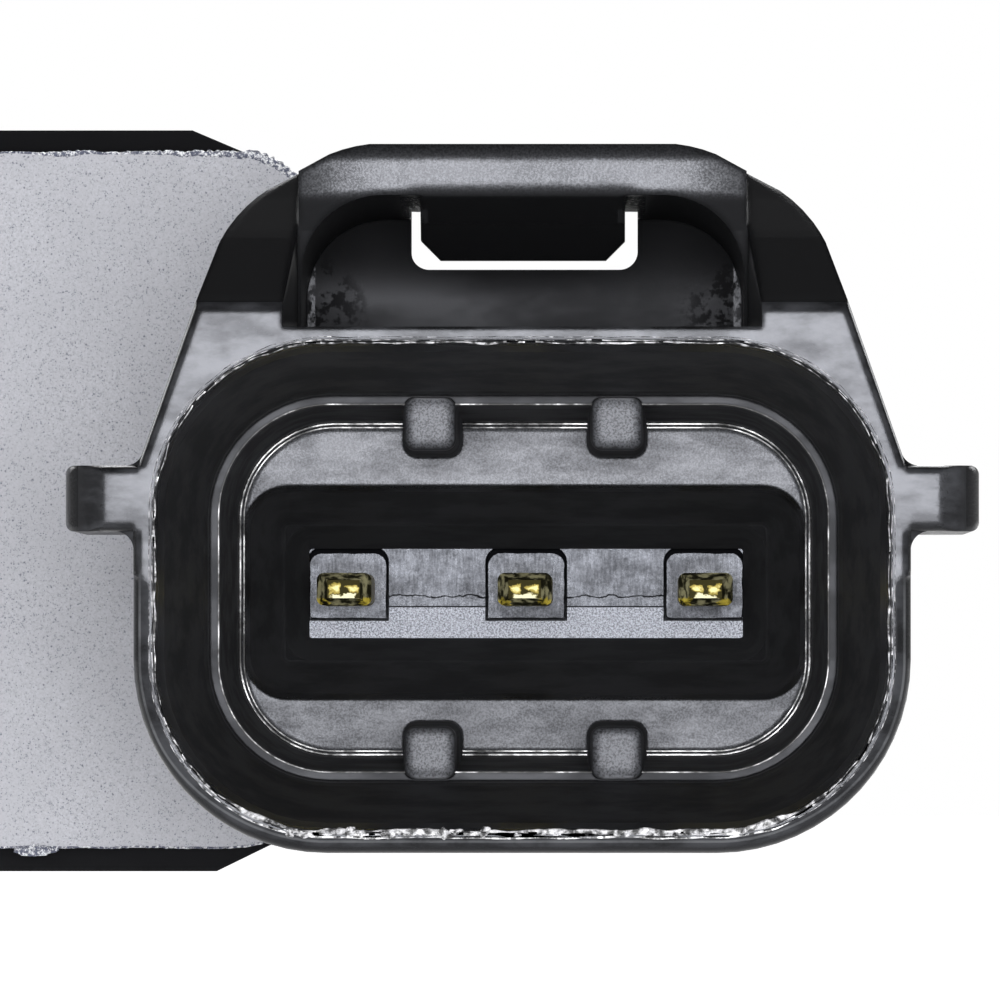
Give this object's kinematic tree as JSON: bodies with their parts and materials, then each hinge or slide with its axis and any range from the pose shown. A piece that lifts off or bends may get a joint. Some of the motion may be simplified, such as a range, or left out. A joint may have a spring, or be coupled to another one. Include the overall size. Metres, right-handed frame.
{
  "type": "transmission speed sensor",
  "caption": "Black moulded speed sensor: plug socket with latch cage on the front, mounting plate with a bolt bush beside it, and a sealed round probe on the back.",
  "frame": {"origin": "centre of the bolt hole in the seating face, where the sensor lies on the gearbox", "axes": "-Y the way the plug socket faces and the bolt's head side, +Y along the probe into the gearbox, +X from the bolt to the socket, +Z towards the latch cage"},
  "size_m": [0.0529, 0.0514, 0.0212],
  "materials": {
    "housing_plastic": "glass-filled black plastic, slightly rough",
    "plate_metal": "fine grain with dark pits",
    "bush_steel": "turned",
    "block_plastic": "satin",
    "terminal_plating": "bright plating",
    "seal_rubber": "matt",
    "cap_plastic": "satin",
    "carrier_plastic": "satin",
    "chip_plastic": "matt",
    "lead_metal": "tinned",
    "pole_steel": "ground",
    "magnet_ferrite": "ground",
    "board_laminate": "lacquered",
    "capacitor_body": "fired",
    "resistor_body": "matt"
  },
  "bodies": {
    "root": {"housing": "housing_plastic", "mounting_plate": "plate_metal", "bolt_bush": "bush_steel", "terminal_block": "block_plastic", "terminal_left": "terminal_plating", "terminal_middle": "terminal_plating", "terminal_right": "terminal_plating", "o_ring": "seal_rubber", "probe_cap": "cap_plastic", "sensor_carrier": "carrier_plastic", "sensing_chip": "chip_plastic", "chip_lead_left": "lead_metal", "chip_lead_middle": "lead_metal", "chip_lead_right": "lead_metal", "pole_piece": "pole_steel", "bias_magnet": "magnet_ferrite", "circuit_board": "board_laminate", "supply_capacitor": "capacitor_body", "output_capacitor": "capacitor_body", "pull_up_resistor": "resistor_body"}
  },
  "joints": []
}
